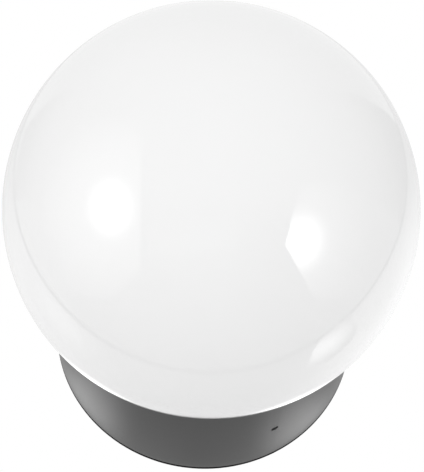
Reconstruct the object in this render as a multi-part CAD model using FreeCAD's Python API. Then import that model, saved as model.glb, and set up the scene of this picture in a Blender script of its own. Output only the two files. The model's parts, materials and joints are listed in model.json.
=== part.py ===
import FreeCAD, Part
import math
import os

# Outdoor wall light: an opal glass globe on a round die-cast base.
# Bench frame: X right, Y up, Z out of the wall, with the origin on the wall.
# Each piece is turned at the end so that Z is up and the light points along -Y.
# Lengths are in millimetres and angles in degrees.

# Driving dimensions
globe_diameter = 200.0
globe_wall = 3.0
globe_centre_height = 151.0
housing_diameter = 155.0
housing_wall = 3.0
wall_gasket_thickness = 2.0
plate_thickness = 2.0

# Clearances and the overrun of every cut
cut_overrun = 1.0
seat_gap = 0.3
screw_fit = 0.05
thread_gap = 0.3

# Globe neck and its seal
neck_thread_diameter = 99.0
neck_wall = 3.0
neck_lip_round = 1.0
globe_rim_gap = 0.4
globe_seal_width = 4.5
globe_seal_thickness = 3.3

# Housing
web_thickness = 3.0
collar_wall = 5.0
collar_length = 15.0
neck_end_above_web = 2.0
housing_front_round = 1.2
housing_back_round = 0.6
rib_count = 6
rib_thickness = 2.5
rib_height = 9.0
boss_radius = 4.5
boss_depth = 5.0
gasket_inset = 0.3

# Housing screws, their nylon pads and the plate legs that they press on
housing_screw_count = 3
housing_screw_angle = -63.0
housing_screw_below_web = 8.0
housing_screw_diameter = 4.0
housing_screw_recess = 1.0
housing_screw_length = 8.0
hex_key_width = 2.0
hex_key_depth = 2.5
screw_tip_chamfer = 0.5
pad_diameter = 2.6
pad_gap = 0.05
leg_setback = 8.5
leg_width = 16.0
leg_below_web = 4.0
leg_bend = 1.5
leg_relief = 1.5

# Mounting plate
plate_edge_gap = 0.8
wall_slot_leg_distance = 20.0
wall_slot_length = 12.0
wall_slot_width = 5.5

# Cable grommet
grommet_foot_gap = 2.0
grommet_hole_radius = 6.8
grommet_flange_radius = 9.0
grommet_flange_thickness = 2.0
grommet_nose_radius = 5.5
grommet_nose_height = 3.0
cable_bore_radius = 3.75

# Lampholder bracket, a strap bent into a hat shape
bracket_thickness = 2.0
bracket_width = 30.0
bracket_top_height = 24.0
bracket_leg_spread = 48.0
bracket_foot_length = 15.0
bracket_bend = 2.0
bracket_wire_hole_radius = 10.5
pan_screw_diameter = 4.0
pan_head_radius = 3.9
pan_head_height = 2.4
cross_slot_width = 0.9
cross_slot_depth = 1.2

# Lampholder
holder_length = 46.0
holder_base_radius = 20.5
holder_mouth_radius = 17.5
holder_step_height = 30.0
holder_taper_height = 5.0
holder_floor_thickness = 12.0
holder_pocket_depth = 4.0
holder_pocket_radius = 12.6
holder_edge_round = 1.5
holder_screw_spread = 31.0
holder_screw_depth = 9.0
holder_wire_hole_radius = 1.6
holder_wire_hole_depth = 6.0
holder_wire_spread = 14.0
holder_wire_up = 4.0
sleeve_wall = 0.5
sleeve_mouth_setback = 3.0
sleeve_flange_radius = 9.5
contact_strip_thickness = 0.6
contact_strip_width = 6.0
contact_bend = 0.4
contact_screw_spread = 16.0
contact_screw_diameter = 3.0
contact_head_radius = 2.5
contact_head_height = 1.6
contact_screw_depth = 7.0
centre_foot_reach = 10.8
centre_riser_reach = 3.6
centre_tongue_reach = 4.5
side_foot_reach = 5.2
side_riser_reach = 11.8

# Lamp with an E27 screw cap
lamp_length = 108.0
lamp_cap_length = 27.0
lamp_cap_thread_diameter = 26.2
lamp_cap_wall = 0.5
lamp_contact_radius = 4.6
lamp_contact_height = 1.4
lamp_contact_gap = 0.05
insulator_height = 3.0
insulator_tip_radius = 5.2
cap_foot_radius = 11.0
cap_foot_height = 2.2
lamp_bulb_radius = 30.0
lamp_body_height = 40.0
lamp_body_wall = 1.6
lamp_neck_radius = 13.9
lamp_neck_height = 4.0
lamp_spigot_length = 11.0
lamp_spigot_bore_radius = 10.8
diffuser_wall = 1.2
led_board_thickness = 1.6
led_board_drop = 2.2
led_ledge_width = 1.5
led_count = 8
led_size = 3.5
led_height = 0.8
led_circle_share = 0.68
driver_board_width = 17.0
driver_board_length = 32.0
driver_board_thickness = 1.6
driver_can_radius = 4.0
driver_can_length = 11.0

# Terminal block
block_strap_gap = 2.0
block_edge_distance = 39.7
block_length = 30.0
block_width = 17.0
block_height = 14.0
block_edge_round = 1.0
pole_count = 3
pole_pitch = 10.0
tunnel_height = 6.5
tunnel_radius = 3.0
insert_radius = 2.8
insert_bore_radius = 1.7
insert_setback = 1.5
clamp_screw_spread = 7.0
clamp_screw_radius = 1.3
clamp_well_radius = 2.1
clamp_head_radius = 1.9
clamp_head_height = 1.6
clamp_head_setback = 1.0
block_screw_diameter = 3.0
block_screw_head_radius = 1.7
block_screw_head_height = 1.8
block_screw_head_drop = 6.0

# Earth screw with its ring lug
earth_left = 22.0
earth_down = 28.0
lug_ring_radius = 4.4
lug_thickness = 0.8
lug_tail_length = 11.0
lug_tail_width = 3.4
washer_radius = 4.3
washer_thickness = 0.9

# Wires
wire_diameter = 2.0
wire_entry_depth = 4.0
wire_run_height = 14.0
wire_bend_share = 0.45

# Worked-out sizes
globe_radius = globe_diameter / 2
housing_radius = housing_diameter / 2
housing_bore = housing_radius - housing_wall
neck_radius = neck_thread_diameter / 2
neck_bore = neck_radius - neck_wall
collar_bore = neck_radius + thread_gap
collar_radius = collar_bore + collar_wall


def globe_back_height(radius):
    return globe_centre_height - math.sqrt(globe_radius ** 2 - radius ** 2)


collar_front_height = globe_back_height(collar_bore) - globe_seal_thickness
web_height = collar_front_height - collar_length
neck_end_height = web_height + neck_end_above_web
housing_front_height = globe_centre_height - math.sqrt(
    (globe_radius + globe_rim_gap) ** 2 - housing_bore ** 2
)
housing_screw_height = web_height - housing_screw_below_web
leg_top_height = web_height - leg_below_web
leg_face_distance = housing_bore - leg_setback
wall_slot_spacing = 2 * (leg_face_distance - wall_slot_leg_distance)
screw_outer_end = housing_radius - housing_screw_recess
screw_inner_end = screw_outer_end - housing_screw_length
plate_radius = housing_bore - plate_edge_gap
bracket_foot_end = bracket_leg_spread / 2 + bracket_foot_length
grommet_up = bracket_foot_end + grommet_flange_radius + grommet_foot_gap
block_left = bracket_width / 2 + block_strap_gap + block_length / 2
block_up = plate_radius - block_edge_distance
holder_back_height = bracket_top_height
holder_floor_height = holder_back_height + holder_floor_thickness
holder_mouth_height = holder_back_height + holder_length
flange_height = holder_floor_height + holder_pocket_depth
cap_radius = lamp_cap_thread_diameter / 2
sleeve_bore = cap_radius + thread_gap
sleeve_radius = sleeve_bore + sleeve_wall
holder_bore = sleeve_radius + seat_gap
lamp_tip_height = holder_mouth_height - lamp_cap_length
lamp_shoulder_height = holder_mouth_height + seat_gap
lamp_front_height = lamp_tip_height + lamp_length
bulb_centre_height = lamp_front_height - lamp_bulb_radius
body_top_height = lamp_shoulder_height + lamp_body_height
body_top_radius = math.sqrt(lamp_bulb_radius ** 2 - (bulb_centre_height - body_top_height) ** 2)
led_board_height = body_top_height - led_board_drop
led_board_radius = body_top_radius - lamp_body_wall - diffuser_wall - 2 * seat_gap
block_floor_height = plate_thickness
block_top_height = block_floor_height + block_height
tunnel_axis_height = block_floor_height + tunnel_height
block_lower_face = block_up - block_width / 2
wire_radius = wire_diameter / 2


def V(x, y, z):
    return FreeCAD.Vector(x, y, z)


def disc(radius, low, high):
    return Part.makeCylinder(radius, high - low, V(0, 0, low))


def ring(outer, inner, low, high):
    hole = disc(inner, low - cut_overrun, high + cut_overrun)
    return disc(outer, low, high).cut(hole)


def block(length, width, low, high):
    return Part.makeBox(length, width, high - low, V(-length / 2, -width / 2, low))


def moved(shape, x, y):
    copy = shape.copy()
    copy.translate(V(x, y, 0))
    return copy


def turned(shape, angle):
    copy = shape.copy()
    copy.rotate(V(0, 0, 0), V(0, 0, 1), angle)
    return copy


def joined(shapes):
    whole = shapes[0]
    for shape in shapes[1:]:
        whole = whole.fuse(shape)
    return whole.removeSplitter()


def rounded(shape, radius, wanted):
    edges = [edge for edge in shape.Edges if wanted(edge)]
    return shape.makeFillet(radius, edges)


def is_rim(edge, radius, height):
    if not isinstance(edge.Curve, Part.Circle):
        return False
    near = (globe_wall + housing_wall) / 1000
    return abs(edge.Curve.Radius - radius) < near and abs(edge.Curve.Center.z - height) < near


def revolved(edges):
    face = Part.Face(Part.Wire(Part.__sortEdges__(edges)))
    return face.revolve(V(0, 0, 0), V(0, 0, 1), 360)


def path_edges(points):
    spots = [V(x, 0, z) for x, z in points]
    return [Part.makeLine(a, b) for a, b in zip(spots, spots[1:])]


def outline(points):
    return path_edges(points + points[:1])


def arc_through(first, middle, last):
    spots = [V(x, 0, z) for x, z in (first, middle, last)]
    return Part.Arc(*spots).toShape()


# A bend between two straight stretches: its tangent points, centre and sense
def bend_between(before, corner, after, radius):
    inward = (corner - before).normalize()
    outward = (after - corner).normalize()
    half_turn = inward.getAngle(outward) / 2
    side = (outward - inward).normalize()
    reach = radius * math.tan(half_turn)
    centre = corner + side * (radius / math.cos(half_turn))
    return corner - inward * reach, corner + outward * reach, centre, side


# A sheet strip in the XZ plane, bent at each inner point and centred along Y
def bent_strip(points, thickness, bend, width):
    spots = [V(x, 0, z) for x, z in points]
    middle_radius = bend + thickness / 2
    edges = []
    ends = []
    for side in (thickness / 2, -thickness / 2):
        first = (spots[1] - spots[0]).normalize()
        here = spots[0] + V(-first.z, 0, first.x) * side
        ends.append([here])
        for before, corner, after in zip(spots, spots[1:], spots[2:]):
            start, end, centre, toward = bend_between(before, corner, after, middle_radius)
            inward = (corner - before).normalize()
            outward = (after - corner).normalize()
            in_normal = V(-inward.z, 0, inward.x)
            out_normal = V(-outward.z, 0, outward.x)
            sense = math.copysign(1, toward.dot(in_normal))
            middle = centre - toward * (middle_radius - side * sense)
            arc_start = start + in_normal * side
            arc_end = end + out_normal * side
            edges.append(Part.makeLine(here, arc_start))
            edges.append(Part.Arc(arc_start, middle, arc_end).toShape())
            here = arc_end
        last = (spots[-1] - spots[-2]).normalize()
        finish = spots[-1] + V(-last.z, 0, last.x) * side
        edges.append(Part.makeLine(here, finish))
        ends[-1].append(finish)
    edges.append(Part.makeLine(ends[0][0], ends[1][0]))
    edges.append(Part.makeLine(ends[0][1], ends[1][1]))
    face = Part.Face(Part.Wire(Part.__sortEdges__(edges)))
    strip = face.extrude(V(0, width, 0))
    strip.translate(V(0, -width / 2, 0))
    return strip


# A round wire along straight runs joined by arcs as large as the runs allow
def wire_tube(name, points, radius):
    edges = []
    here = points[0]
    bends = []
    for before, corner, after in zip(points, points[1:], points[2:]):
        run = min(before.distanceToPoint(corner), corner.distanceToPoint(after))
        turn = (corner - before).getAngle(after - corner)
        bend = wire_bend_share * run / math.tan(turn / 2)
        start, end, centre, side = bend_between(before, corner, after, bend)
        edges.append(Part.makeLine(here, start))
        edges.append(Part.Arc(start, centre - side * bend, end).toShape())
        bends.append(bend)
        here = end
    edges.append(Part.makeLine(here, points[-1]))
    path = Part.Wire(edges)
    section = Part.Wire(Part.makeCircle(radius, points[0], points[1] - points[0]))
    tube = path.makePipeShell([section], True, False)
    share = tube.Volume / (math.pi * radius ** 2 * path.Length)
    print(name, "length", round(path.Length, 1), "volume share", round(share, 4))
    print("bend radii", [round(bend, 1) for bend in bends])
    return tube


# A screw along Z with its head on top, and a cross recess in the head
def pan_screw(diameter, head_radius, head_height, seat_height, shank_length):
    shank = disc(diameter / 2, seat_height - shank_length, seat_height + head_height / 2)
    head = disc(head_radius, seat_height, seat_height + head_height)
    top = seat_height + head_height
    head = rounded(head, head_height / 3, lambda edge: is_rim(edge, head_radius, top))
    arm = block(head_radius, cross_slot_width, top - cross_slot_depth, top + cut_overrun)
    return joined([shank, head]).cut(arm).cut(turned(arm, 90))


def screw_angles():
    return [housing_screw_angle + 360 * i / housing_screw_count for i in range(housing_screw_count)]


# A cylinder that points outward along X at a height above the wall
def radial_pin(radius, inner_end, outer_end, height):
    return Part.makeCylinder(radius, outer_end - inner_end, V(inner_end, 0, height), V(1, 0, 0))


def make_globe():
    centre = V(0, 0, globe_centre_height)
    outer_neck = disc(neck_radius, neck_end_height, globe_centre_height)
    lip = lambda edge: is_rim(edge, neck_radius, neck_end_height)
    outer_neck = rounded(outer_neck, neck_lip_round, lip)
    inner_neck = disc(neck_bore, globe_centre_height - globe_diameter, globe_centre_height)
    outside = Part.makeSphere(globe_radius, centre).fuse(outer_neck)
    inside = Part.makeSphere(globe_radius - globe_wall, centre).fuse(inner_neck)
    return outside.cut(inside)


def make_globe_seal():
    band = ring(collar_bore + globe_seal_width, collar_bore, collar_front_height, globe_centre_height)
    return band.cut(Part.makeSphere(globe_radius + seat_gap, V(0, 0, globe_centre_height)))


def make_housing():
    back = wall_gasket_thickness
    front = housing_front_height
    wall = ring(housing_radius, housing_bore, back, front)
    wall = rounded(wall, housing_front_round, lambda edge: is_rim(edge, housing_radius, front))
    wall = rounded(wall, housing_back_round, lambda edge: is_rim(edge, housing_radius, back))
    half_wall = housing_bore + housing_wall / 2
    web = ring(half_wall, collar_bore, web_height, web_height + web_thickness)
    collar = ring(collar_radius, collar_bore, web_height, collar_front_height)
    pieces = [wall, web, collar]
    rib_foot = web_height + web_thickness / 2
    rib_top = web_height + web_thickness + rib_height
    rib_start = collar_bore + collar_wall / 2
    rib_length = half_wall - rib_start
    for i in range(rib_count):
        rib = block(rib_length, rib_thickness, rib_foot, rib_top)
        rib = moved(rib, rib_start + rib_length / 2, 0)
        pieces.append(turned(rib, 360 * i / rib_count))
    for angle in screw_angles():
        boss = radial_pin(boss_radius, housing_bore - boss_depth, half_wall, housing_screw_height)
        pieces.append(turned(boss, angle))
    housing = joined(pieces)
    for angle in screw_angles():
        hole = radial_pin(
            housing_screw_diameter / 2 + screw_fit,
            housing_bore - boss_depth - cut_overrun,
            housing_radius + cut_overrun,
            housing_screw_height,
        )
        housing = housing.cut(turned(hole, angle))
    return housing


def make_wall_gasket():
    return ring(housing_radius - gasket_inset, housing_bore, 0, wall_gasket_thickness)


def make_housing_screw(angle):
    radius = housing_screw_diameter / 2
    screw = radial_pin(radius, screw_inner_end, screw_outer_end, housing_screw_height)
    tip = [edge for edge in screw.Edges if abs(edge.CenterOfMass.x - screw_inner_end) < screw_fit]
    screw = screw.makeChamfer(screw_tip_chamfer, tip)
    corner = hex_key_width / math.sqrt(3)
    spots = []
    for i in range(7):
        turn = math.radians(60 * i)
        y = corner * math.cos(turn)
        z = housing_screw_height + corner * math.sin(turn)
        spots.append(V(screw_outer_end - hex_key_depth, y, z))
    socket = Part.Face(Part.makePolygon(spots)).extrude(V(hex_key_depth + cut_overrun, 0, 0))
    return turned(screw.cut(socket), angle)


def make_screw_pad(angle):
    leg_side = leg_face_distance + pad_gap
    pad = radial_pin(pad_diameter / 2, leg_side, screw_inner_end, housing_screw_height)
    return turned(pad, angle)


def make_mounting_plate():
    plate = disc(plate_radius, 0, plate_thickness)
    leg_middle = leg_face_distance - plate_thickness / 2
    sheet_middle = plate_thickness / 2
    notch_start = leg_face_distance - plate_thickness - leg_bend - leg_relief
    notch_width = leg_width + 2 * leg_relief
    leg_points = [
        (notch_start - leg_relief, sheet_middle),
        (leg_middle, sheet_middle),
        (leg_middle, leg_top_height),
    ]
    for angle in screw_angles():
        notch = block(plate_radius, notch_width, -cut_overrun, plate_thickness + cut_overrun)
        notch = moved(notch, notch_start + plate_radius / 2, 0)
        leg = bent_strip(leg_points, plate_thickness, leg_bend, leg_width)
        plate = plate.cut(turned(notch, angle))
        plate = plate.fuse(turned(leg, angle))
    plate = plate.removeSplitter()
    for side in (-1, 1):
        plate = plate.cut(moved(wall_slot_cutter(), side * wall_slot_spacing / 2, 0))
    grommet_hole = disc(grommet_hole_radius, -cut_overrun, plate_thickness + cut_overrun)
    holes = [
        moved(grommet_hole, 0, grommet_up),
        moved(tapped_hole(block_screw_diameter), -block_left + pole_pitch / 2, block_up),
        moved(tapped_hole(pan_screw_diameter), -earth_left, -earth_down),
    ]
    for side in (-1, 1):
        holes.append(moved(tapped_hole(pan_screw_diameter), 0, side * foot_screw_reach()))
    for hole in holes:
        plate = plate.cut(hole)
    return plate


def wall_slot_cutter():
    low = -cut_overrun
    high = plate_thickness + cut_overrun
    straight = wall_slot_length - wall_slot_width
    middle = block(straight, wall_slot_width, low, high)
    end = disc(wall_slot_width / 2, low, high)
    return joined([middle, moved(end, straight / 2, 0), moved(end, -straight / 2, 0)])


def tapped_hole(diameter):
    return disc(diameter / 2 + screw_fit, -cut_overrun, plate_thickness + cut_overrun)


def foot_screw_reach():
    return (bracket_leg_spread + bracket_foot_length) / 2 + bracket_thickness / 2


def make_cable_grommet():
    neck = disc(grommet_hole_radius - screw_fit, seat_gap, plate_thickness)
    flange = disc(grommet_flange_radius, plate_thickness, plate_thickness + grommet_flange_thickness)
    flange_top = plate_thickness + grommet_flange_thickness
    nose = Part.makeCone(
        grommet_flange_radius - grommet_flange_thickness,
        grommet_nose_radius,
        grommet_nose_height,
        V(0, 0, flange_top),
    )
    bore = disc(cable_bore_radius, -cut_overrun, flange_top + grommet_nose_height + cut_overrun)
    return moved(joined([neck, flange, nose]).cut(bore), 0, grommet_up)


def make_lampholder_bracket():
    middle = bracket_thickness / 2
    leg = bracket_leg_spread / 2
    foot = bracket_foot_end
    foot_level = plate_thickness + middle
    top_level = bracket_top_height - middle
    left_side = [(-foot, foot_level), (-leg, foot_level), (-leg, top_level)]
    right_side = [(leg, top_level), (leg, foot_level), (foot, foot_level)]
    strap = bent_strip(left_side + right_side, bracket_thickness, bracket_bend, bracket_width)
    strap = turned(strap, 90)
    low = plate_thickness - cut_overrun
    high = bracket_top_height + cut_overrun
    strap = strap.cut(disc(bracket_wire_hole_radius, low, high))
    clearance = disc(pan_screw_diameter / 2 + seat_gap, low, high)
    for side in (-1, 1):
        strap = strap.cut(moved(clearance, 0, side * foot_screw_reach()))
        strap = strap.cut(moved(clearance, 0, side * holder_screw_spread / 2))
    return strap


def make_bracket_screws():
    seat = plate_thickness + bracket_thickness
    shank = seat - seat_gap
    screw = pan_screw(pan_screw_diameter, pan_head_radius, pan_head_height, seat, shank)
    return Part.makeCompound([moved(screw, 0, side * foot_screw_reach()) for side in (-1, 1)])


def make_lampholder_body():
    step = holder_back_height + holder_step_height
    points = [
        (0, holder_back_height),
        (holder_base_radius, holder_back_height),
        (holder_base_radius, step),
        (holder_mouth_radius, step + holder_taper_height),
        (holder_mouth_radius, holder_mouth_height),
        (0, holder_mouth_height),
    ]
    body = revolved(outline(points))
    back_rim = lambda edge: is_rim(edge, holder_base_radius, holder_back_height)
    mouth_rim = lambda edge: is_rim(edge, holder_mouth_radius, holder_mouth_height)
    body = rounded(body, holder_edge_round, back_rim)
    body = rounded(body, holder_edge_round, mouth_rim)
    body = body.cut(disc(holder_bore, flange_height, holder_mouth_height + cut_overrun))
    body = body.cut(disc(holder_pocket_radius, holder_floor_height, flange_height + cut_overrun))
    low = holder_back_height - cut_overrun
    fixing = disc(pan_screw_diameter / 2 + screw_fit, low, holder_back_height + holder_screw_depth)
    wire_hole = disc(holder_wire_hole_radius, low, holder_back_height + holder_wire_hole_depth)
    contact_hole = disc(
        contact_screw_diameter / 2 + screw_fit,
        holder_floor_height - contact_screw_depth,
        holder_floor_height + cut_overrun,
    )
    for side in (-1, 1):
        body = body.cut(moved(fixing, 0, side * holder_screw_spread / 2))
        body = body.cut(moved(wire_hole, side * holder_wire_spread / 2, holder_wire_up))
        body = body.cut(moved(contact_hole, side * contact_screw_spread / 2, 0))
    return body


def make_lampholder_screws():
    seat = bracket_top_height - bracket_thickness
    shank = bracket_thickness + holder_screw_depth - seat_gap
    screw = pan_screw(pan_screw_diameter, pan_head_radius, pan_head_height, -seat, shank)
    screw.rotate(V(0, 0, 0), V(1, 0, 0), 180)
    return Part.makeCompound([moved(screw, 0, side * holder_screw_spread / 2) for side in (-1, 1)])


def make_lampholder_sleeve():
    sleeve = ring(sleeve_radius, sleeve_bore, flange_height, holder_mouth_height - sleeve_mouth_setback)
    flange = ring(sleeve_radius, sleeve_flange_radius, flange_height, flange_height + sleeve_wall)
    return joined([sleeve, flange])


def contact_strip(points):
    strip = bent_strip(points, contact_strip_thickness, contact_bend, contact_strip_width)
    low = holder_floor_height - cut_overrun
    high = flange_height
    hole = disc(contact_screw_diameter / 2 + screw_fit, low, high)
    side = math.copysign(contact_screw_spread / 2, points[0][0])
    return strip.cut(moved(hole, side, 0))


def make_centre_contact():
    foot = holder_floor_height + contact_strip_thickness / 2
    tongue = lamp_tip_height - lamp_contact_gap - contact_strip_thickness / 2
    return contact_strip(
        [
            (-centre_foot_reach, foot),
            (-centre_riser_reach, foot),
            (-centre_riser_reach, tongue),
            (centre_tongue_reach, tongue),
        ]
    )


def make_side_contact():
    foot = holder_floor_height + contact_strip_thickness / 2
    riser = side_riser_reach
    return contact_strip([(side_foot_reach, foot), (riser, foot), (riser, flange_height)])


def make_contact_screws():
    seat = holder_floor_height + contact_strip_thickness
    shank = contact_screw_depth + contact_strip_thickness - seat_gap
    screw = pan_screw(contact_screw_diameter, contact_head_radius, contact_head_height, seat, shank)
    return Part.makeCompound([moved(screw, side * contact_screw_spread / 2, 0) for side in (-1, 1)])


def make_lamp_contact():
    button = disc(lamp_contact_radius, lamp_tip_height, lamp_tip_height + lamp_contact_height)
    edge_round = lamp_contact_height / 3
    return rounded(button, edge_round, lambda edge: is_rim(edge, lamp_contact_radius, lamp_tip_height))


def make_lamp_insulator():
    low = V(0, 0, lamp_tip_height + lamp_contact_height)
    top_radius = cap_foot_radius - lamp_cap_wall
    return Part.makeCone(insulator_tip_radius, top_radius, insulator_height, low)


def make_lamp_cap():
    foot = lamp_tip_height + lamp_contact_height + insulator_height
    shoulder = foot + cap_foot_height
    wall = lamp_cap_wall
    points = [
        (cap_foot_radius - 2 * wall, foot),
        (cap_foot_radius, foot),
        (cap_radius, shoulder),
        (cap_radius, lamp_shoulder_height),
        (cap_radius - wall, lamp_shoulder_height),
        (cap_radius - wall, shoulder + wall),
        (cap_foot_radius - wall, foot + wall),
        (cap_foot_radius - 2 * wall, foot + wall),
    ]
    return revolved(outline(points))


def make_lamp_body():
    spigot = cap_radius - lamp_cap_wall - screw_fit
    neck_top = lamp_shoulder_height + lamp_neck_height
    flare_height = (neck_top + body_top_height) / 2
    flare_radius = (lamp_neck_radius + body_top_radius) / 2
    flare_bow = lamp_neck_height / 2
    wall = lamp_body_wall
    spigot_foot = lamp_shoulder_height - lamp_spigot_length
    inner_top = led_board_radius + seat_gap
    ledge_radius = inner_top - led_ledge_width
    outer_flare = flare_radius + flare_bow
    below = [
        (lamp_spigot_bore_radius, neck_top),
        (lamp_spigot_bore_radius, spigot_foot),
        (spigot, spigot_foot),
        (spigot, lamp_shoulder_height),
        (lamp_neck_radius, lamp_shoulder_height),
        (lamp_neck_radius, neck_top),
    ]
    above = [
        (body_top_radius, body_top_height),
        (inner_top, body_top_height),
        (inner_top, led_board_height),
        (ledge_radius, led_board_height),
    ]
    outer_arc = arc_through(below[-1], (outer_flare, flare_height), above[0])
    inner_arc = arc_through(above[-1], (outer_flare - 2 * wall, flare_height), below[0])
    return revolved(path_edges(below) + [outer_arc] + path_edges(above) + [inner_arc])


def make_lamp_diffuser():
    centre = V(0, 0, bulb_centre_height)
    outside = Part.makeSphere(lamp_bulb_radius, centre)
    inside = Part.makeSphere(lamp_bulb_radius - diffuser_wall, centre)
    below = disc(lamp_bulb_radius + cut_overrun, lamp_tip_height, body_top_height)
    return outside.cut(inside).cut(below)


def make_led_board():
    top = led_board_height + led_board_thickness
    board = disc(led_board_radius, led_board_height, top)
    pieces = [board]
    for i in range(led_count):
        chip = block(led_size, led_size, top - led_board_thickness / 2, top + led_height)
        pieces.append(turned(moved(chip, led_board_radius * led_circle_share, 0), 360 * i / led_count))
    return joined(pieces)


def make_driver_board():
    low = led_board_height - driver_board_length
    board = block(driver_board_width, driver_board_thickness, low, led_board_height)
    can_top = led_board_height - driver_board_thickness
    can = disc(driver_can_radius, can_top - driver_can_length, can_top)
    return joined([board, moved(can, 0, driver_can_radius)])


def pole_places():
    first = -block_left - pole_pitch * (pole_count - 1) / 2
    return [first + pole_pitch * i for i in range(pole_count)]


def make_terminal_block():
    body = block(block_length, block_width, block_floor_height, block_top_height)
    near_top = block_top_height - screw_fit
    body = rounded(body, block_edge_round, lambda edge: edge.CenterOfMass.z > near_top)
    body = moved(body, -block_left, block_up)
    for x in pole_places():
        body = body.cut(along_up(tunnel_radius, block_width + 2 * cut_overrun, x))
        for side in (-1, 1):
            well = disc(clamp_well_radius, tunnel_axis_height, block_top_height + cut_overrun)
            body = body.cut(moved(well, x, block_up + side * clamp_screw_spread / 2))
    low = block_floor_height - cut_overrun
    hole = disc(block_screw_diameter / 2 + screw_fit, low, block_top_height + cut_overrun)
    head_seat = block_top_height - block_screw_head_drop
    head_room = disc(block_screw_head_radius + screw_fit, head_seat, block_top_height + cut_overrun)
    place = -block_left + pole_pitch / 2
    return body.cut(moved(hole, place, block_up)).cut(moved(head_room, place, block_up))


# A round bar along Y, centred on the terminal block
def along_up(radius, length, x):
    return Part.makeCylinder(radius, length, V(x, block_up - length / 2, tunnel_axis_height), V(0, 1, 0))


def make_terminal_inserts():
    length = block_width - 2 * insert_setback
    inserts = []
    for x in pole_places():
        bore = along_up(insert_bore_radius, length + cut_overrun, x)
        tube = along_up(insert_radius, length, x).cut(bore)
        for side in (-1, 1):
            hole = disc(clamp_screw_radius + screw_fit, tunnel_axis_height, block_top_height)
            tube = tube.cut(moved(hole, x, block_up + side * clamp_screw_spread / 2))
        inserts.append(tube)
    return Part.makeCompound(inserts)


def make_clamp_screws():
    top = block_top_height - clamp_head_setback
    tip = tunnel_axis_height + wire_radius + screw_fit
    seat = top - clamp_head_height
    screws = []
    for x in pole_places():
        for side in (-1, 1):
            shank = disc(clamp_screw_radius, tip, seat + clamp_head_height / 2)
            head = disc(clamp_head_radius, seat, top)
            slot_length = 2 * clamp_head_radius + cut_overrun
            slot_floor = top - clamp_head_height / 2
            slot = block(slot_length, cross_slot_width / 2, slot_floor, top + cut_overrun)
            screw = joined([shank, head]).cut(slot)
            screws.append(moved(screw, x, block_up + side * clamp_screw_spread / 2))
    return Part.makeCompound(screws)


def make_block_screw():
    seat = block_top_height - block_screw_head_drop
    shank = seat - seat_gap
    head = block_screw_head_radius
    screw = pan_screw(block_screw_diameter, head, block_screw_head_height, seat, shank)
    return moved(screw, -block_left + pole_pitch / 2, block_up)


def make_earth_lug():
    low = plate_thickness
    high = low + lug_thickness
    plate = disc(lug_ring_radius, low, high)
    tail = Part.makeBox(lug_tail_width, lug_tail_length, lug_thickness, V(-lug_tail_width / 2, 0, low))
    barrel_length = lug_tail_length / 2
    barrel_start = V(0, lug_tail_length - barrel_length, low + wire_radius + lug_thickness)
    upward = V(0, 1, 0)
    barrel = Part.makeCylinder(wire_radius + lug_thickness, barrel_length, barrel_start, upward)
    bore_length = barrel_length + cut_overrun
    bore = Part.makeCylinder(wire_radius + screw_fit, bore_length, barrel_start, upward)
    hole = disc(pan_screw_diameter / 2 + screw_fit, low - cut_overrun, high + cut_overrun)
    lug = joined([plate, tail, barrel]).cut(bore).cut(hole)
    return moved(lug, -earth_left, -earth_down)


def make_earth_washer():
    low = plate_thickness + lug_thickness
    washer = ring(washer_radius, pan_screw_diameter / 2 + screw_fit, low, low + washer_thickness)
    return moved(washer, -earth_left, -earth_down)


def make_earth_screw():
    seat = plate_thickness + lug_thickness + washer_thickness
    screw = pan_screw(pan_screw_diameter, pan_head_radius, pan_head_height, seat, seat - seat_gap)
    return moved(screw, -earth_left, -earth_down)


def wire_start(pole):
    return V(pole_places()[pole], block_lower_face + wire_entry_depth, tunnel_axis_height)


def make_lamp_wire(name, pole, side):
    start = wire_start(pole)
    end_x = side * holder_wire_spread / 2
    inside = holder_back_height + holder_wire_hole_depth - seat_gap
    points = [
        start,
        V(start.x, block_lower_face - wire_entry_depth, tunnel_axis_height),
        V(start.x + pole_pitch / 2, block_lower_face - pole_pitch, wire_run_height),
        V(end_x, holder_wire_up, bracket_top_height / 2),
        V(end_x, holder_wire_up, inside),
    ]
    return wire_tube(name, points, wire_radius)


def make_earth_wire():
    start = wire_start(pole_count - 1)
    lug_height = plate_thickness + wire_radius + lug_thickness
    lug_mouth = -earth_down + lug_tail_length
    points = [
        start,
        V(start.x, block_lower_face - wire_entry_depth, tunnel_axis_height),
        V(start.x - wire_diameter, 0, lug_height + wire_radius),
        V(-earth_left, lug_mouth + 2 * wire_entry_depth, lug_height),
        V(-earth_left, lug_mouth - wire_entry_depth, lug_height),
    ]
    return wire_tube("earth_wire", points, wire_radius)


def save(name, shape):
    turned_up = shape.copy()
    turned_up.rotate(V(0, 0, 0), V(1, 0, 0), 90)
    solids = len(turned_up.Solids)
    print(name, "solids", solids, "valid", turned_up.isValid(), "volume", round(turned_up.Volume, 1))
    turned_up.exportStep(os.path.join("parts", name + ".step"))


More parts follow.
